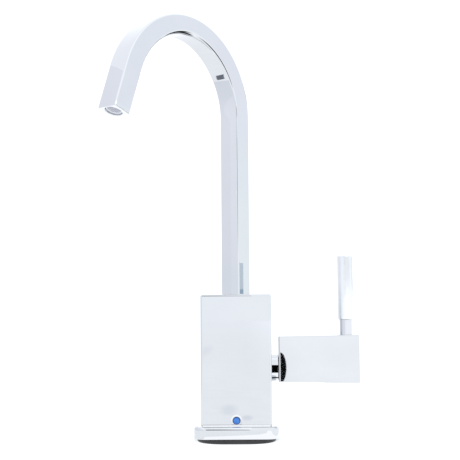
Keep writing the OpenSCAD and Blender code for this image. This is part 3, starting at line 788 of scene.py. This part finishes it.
# Left wall: two lit cloths that stand side by side on the floor and tone the left faces of the spout.
# The one nearer the camera is a little brighter. As with every card below, only reflections see them.
def card(name, grid, material):
    """Card that only reflections see, made of a grid of points as a piece is."""
    mesh = bpy.data.meshes.new(name)
    mesh.from_pydata(grid.reshape(-1, 3).tolist(), [], grid_faces(*grid.shape[:2]).tolist())
    mesh.materials.append(material)
    made = bpy.data.objects.new(name, mesh)
    made.visible_camera = False
    made.visible_diffuse = False
    made.visible_shadow = False
    bpy.context.scene.collection.objects.link(made)


def panel(corner, along, up):
    """Four corners of a flat panel that starts at a corner and spans two sides."""
    corner, along, up = np.array(corner), np.array(along), np.array(up)
    return np.array([[corner, corner + along], [corner + up, corner + up + along]])


def lit_cloth(name, stops):
    """Cloth that glows by its height, as (height, colour) stops."""
    cloth = bpy.data.materials.new(name)
    cloth.use_nodes = True
    tree = cloth.node_tree
    glow = tree.nodes["Principled BSDF"]
    glow.inputs["Base Color"].default_value = (0, 0, 0, 1)
    glow.inputs["Specular IOR Level"].default_value = 0
    glow.inputs["Emission Strength"].default_value = 1
    place = tree.nodes.new("ShaderNodeTexCoord")
    split = tree.nodes.new("ShaderNodeSeparateXYZ")
    tree.links.new(place.outputs["Object"], split.inputs[0])
    tree.links.new(ramp(tree, split.outputs["Z"], stops), glow.inputs["Emission Color"])
    return cloth


wall_h = 0.434
wall_len = 0.9
wall_start = (-0.335, -0.0756, 0.001)
left_tones = [(0, (1.02, 1.06, 1.14)), (0.12, (1.04, 1.08, 1.16)), (0.2, (1.094, 1.119, 1.194)),
              (wall_h, (1.14, 1.16, 1.25))]
front_gain = 1.04
front_tones = [(z, tuple(front_gain * np.array(tone))) for z, tone in left_tones]
walls = [("left_cloth", wall_len, left_tones), ("left_front_cloth", -wall_len, front_tones)]
for name, length, tones in walls:
    card(name, panel(wall_start, along=(0, length, 0), up=(0, 0, wall_h)), lit_cloth(name, tones))


# Black cards: one in the gap before the collar draws the dark band round it, and one below the collar its
# lower line. A half-round one, farther to the front, draws the crescent on the block.
def black_felt(name):
    """Black cloth without any sheen."""
    felt = finish(name, metallic=0, low=grey(0.004), high=grey(0.006),
                  rough_low=0.9, rough_high=1.0, grain=300, bump=0.0)
    felt.node_tree.nodes["Principled BSDF"].inputs["Specular IOR Level"].default_value = 0
    return felt


black_cloth = black_felt("black_cloth")
collar_band = panel(corner=(0.0229, -0.0115, 0.0405), along=(0.0042, 0, 0), up=(0, 0, 0.0091))
card("collar_band", collar_band, black_cloth)
collar_sheet = panel(corner=(0.0222, -0.0078, 0.034), along=(0.0052, 0, 0), up=(0, 0.0022, 0))
card("collar_sheet", collar_sheet, black_cloth)
lens_y = -0.312
lens_left = 0.0398
lens_right = 0.0455
lens_low = 0.0114
lens_high = 0.0408
lens_mid = (lens_low + lens_high) / 2
lens_half = (lens_high - lens_low) / 2
lens_side = np.linspace(-1, 1, 25)
lens_bow = lens_left + (lens_right - lens_left) * np.sqrt(np.clip(1 - lens_side ** 2, 0, 1))
lens_edges = [np.stack([edge + 0 * lens_side, lens_y + 0 * lens_side, lens_mid + lens_half * lens_side], 1)
              for edge in (lens_left, lens_bow)]
card("camera_lens", np.stack(lens_edges), black_cloth)

# Strip on the floor: a dark cloth at the left that draws the dark mark on the inner face of the arch.
# It glows a little, so the mark is a dark grey.
strip_tone = (0.215, 0.235, 0.275)
dark_cloth = lit_cloth("dark_cloth", [(0, strip_tone), (0.1, strip_tone)])
left_strip = panel(corner=(-0.3213, -0.0067, 0.001), along=(0.043, 0.0218, 0), up=(0.008, -0.0064, 0))
card("left_strip", left_strip, dark_cloth)

# Dark sheets: two flat cloths just above the level of the body's top, with soft black spots.
# The one behind draws the dark crescent at the top of the arch's inner edge, the one in front the line to
# the right of it, and linings in the tone of the room hide both from what is below.
room_tone = (1.27, 1.31, 1.35)


def spotted_cloth(name, *spots):
    """Cloth in the tone of the room with black spots on it that have soft rims.

    A spot has its centre, its half sizes and the share of them where its rim starts to fade.
    """
    cloth = black_felt(name)
    tree = cloth.node_tree
    shader = tree.nodes["Principled BSDF"]
    shader.inputs["Emission Strength"].default_value = 1
    place = tree.nodes.new("ShaderNodeTexCoord")
    glow = None
    for spot in spots:
        dark = patch(tree, place.outputs["Object"], spot["centre"], spot["half"],
                     [(0, grey(0)), (spot["fade_from"], grey(0)), (1, grey(1) if glow else room_tone)])
        glow = times(tree, glow, dark) if glow else dark
    tree.links.new(glow, shader.inputs["Emission Color"])
    return cloth


lining_cloth = lit_cloth("lining_cloth", [(0, room_tone), (0.2, room_tone)])
lining_drop = np.array([0, 0, 0.001])
sheet_z = 0.094
back_sheet = panel(corner=(-0.01, 0.015, sheet_z), along=(0.72, 0, 0), up=(0, 0.68, 0))
back_cloth = spotted_cloth("back_cloth",
                           dict(centre=(0.135, 0.15, sheet_z), half=(0.13, 0.13, 1), fade_from=0.75),
                           dict(centre=(0.38, 0.32, sheet_z), half=(0.32, 0.31, 1), fade_from=0.8))
card("back_sheet", back_sheet, back_cloth)
card("back_lining", back_sheet - lining_drop, lining_cloth)
front_sheet = panel(corner=(0.01, -0.39, sheet_z), along=(0.38, 0, 0), up=(0, 0.375, 0))
front_cloth = spotted_cloth("front_cloth",
                            dict(centre=(0.2, -0.2, sheet_z), half=(0.19, 0.185, 1), fade_from=0.65))
card("front_sheet", front_sheet, front_cloth)
card("front_lining", front_sheet - lining_drop, lining_cloth)

# Standing cloths with soft black spots: the front strip draws the line on the riser's edge and the dark
# line on the base plate's upper edge, and the hood the left part of that line and of the line on the
# body's top edge. The back strip draws the line down the left inner edge of the arch.
strip_cloth = spotted_cloth("strip_cloth",
                            dict(centre=(0, -0.72, 0.25), half=(0.14, 1, 0.1), fade_from=0.7))
front_strip = panel(corner=(-0.14, -0.72, 0.15), along=(0.28, 0, 0), up=(0, 0, 0.2))
card("front_strip", front_strip, strip_cloth)
hood_cloth = spotted_cloth("hood_cloth",
                           dict(centre=(-0.1, -0.84, 0.53), half=(0.11, 1, 0.26), fade_from=0.6))
hood = panel(corner=(-0.21, -0.84, 0.27), along=(0.22, 0, 0), up=(0, 0, 0.52))
card("hood", hood, hood_cloth)
arch_cloth = spotted_cloth("arch_cloth",
                           dict(centre=(0.02, 0.0565, 0.242), half=(0.055, 1, 0.016), fade_from=0.4))
back_strip = panel(corner=(-0.035, 0.0929, 0.226), along=(0.11, -0.0729, 0), up=(0, 0, 0.032))
card("back_strip", back_strip, arch_cloth)

# Lever's reflection: a small grey card just behind the lever draws it at the foot of the riser.
# Its lower part is darker.
grey_cloth = lit_cloth("grey_cloth", [
    (0.09, (0.44, 0.57, 0.70)), (0.0975, (0.46, 0.59, 0.72)), (0.0985, (0.77, 0.88, 0.965)),
    (0.12, (0.78, 0.89, 0.97))])
lever_card = panel(corner=(0.072, 0.0060, 0.0945), along=(0, 0.0034, 0), up=(0, 0, 0.0225))
card("lever_card", lever_card, grey_cloth)

# White cards: one on the floor, with a listed front edge, lights the lower half of the base plate.
# One at the body's foot lights the crease under it, and one below the outlet the rim of the spout's end.
white_tone = (1.5, 1.52, 1.55)
white_cloth = lit_cloth("white_cloth", [(0, white_tone), (0.2, white_tone)])
glow_x = np.array([-0.03, -0.02, 0.0, 0.015, 0.026, 0.06])
glow_front = np.array([-0.059, -0.061, -0.066, -0.071, -0.087, -0.12])
glow_back = 0.08 + 0 * glow_x
glow_z = 0.0003 + 0 * glow_x
base_glow = np.stack([np.stack([glow_x, edge, glow_z], 1) for edge in (glow_front, glow_back)])
card("base_glow", base_glow, white_cloth)
foot_glow = panel(corner=(-0.0215, -0.0229, 0.01083), along=(0.043, 0, 0), up=(0, 0.0015, 0))
card("foot_glow", foot_glow, white_cloth)
outlet_glow = panel(corner=(-0.097, -0.061, 0.171), along=(0.024, 0, 0), up=(0, 0.026, 0))
card("outlet_glow", outlet_glow, white_cloth)

# Camera: its place and lens were fitted to the edges of the body and the spout.
# It stands a little to the right of the tap's middle, just below the body's top, and looks up a little.
camera_data = bpy.data.cameras.new("photo_camera")
camera_data.lens = 74.04
camera = bpy.data.objects.new("photo_camera", camera_data)
camera_place = Vector((4.825, -624.18, 88.0)) * MM
camera_turn = math.radians(0.766)
camera_lift = math.radians(4.42)
camera_roll = math.radians(-0.437)
camera.matrix_world = (Matrix.Translation(camera_place)
                       @ Matrix.Rotation(camera_turn, 4, "Z")
                       @ Matrix.Rotation(math.pi / 2 + camera_lift, 4, "X")
                       @ Matrix.Rotation(camera_roll, 4, "Z"))
bpy.context.scene.collection.objects.link(camera)
bpy.context.scene.camera = camera
